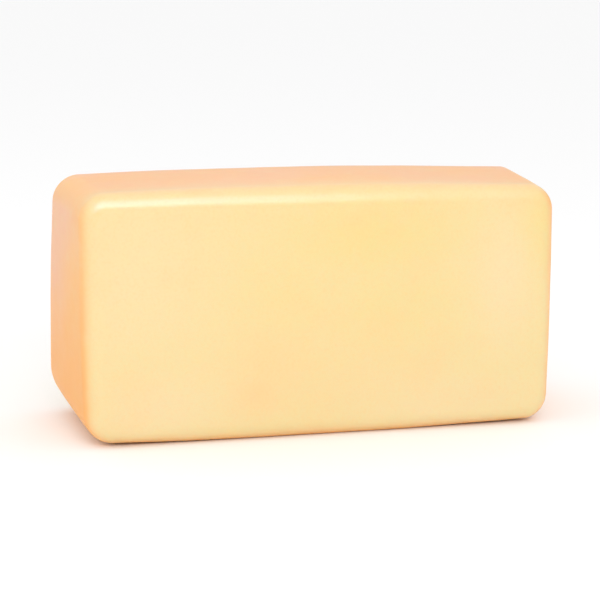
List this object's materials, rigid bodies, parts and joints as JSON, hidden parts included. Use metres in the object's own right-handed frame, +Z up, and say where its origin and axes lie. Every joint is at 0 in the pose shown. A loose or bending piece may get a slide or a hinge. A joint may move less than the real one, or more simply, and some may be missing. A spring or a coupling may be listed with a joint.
{
  "type": "cheese block",
  "caption": "Whole loaf of semi-hard cheese, a soft-edged brick with slightly swollen faces, for slicing, shelf display or table scenes.",
  "frame": {"origin": "under the middle of the block's box, on the surface that it stands on", "axes": "+X along the block's length, +Z up, -Y out of the broad front face"},
  "size_m": [0.2576, 0.084, 0.1298],
  "materials": {
    "cheese": "satin"
  },
  "bodies": {
    "root": {"cheese_block": "cheese"}
  },
  "joints": []
}
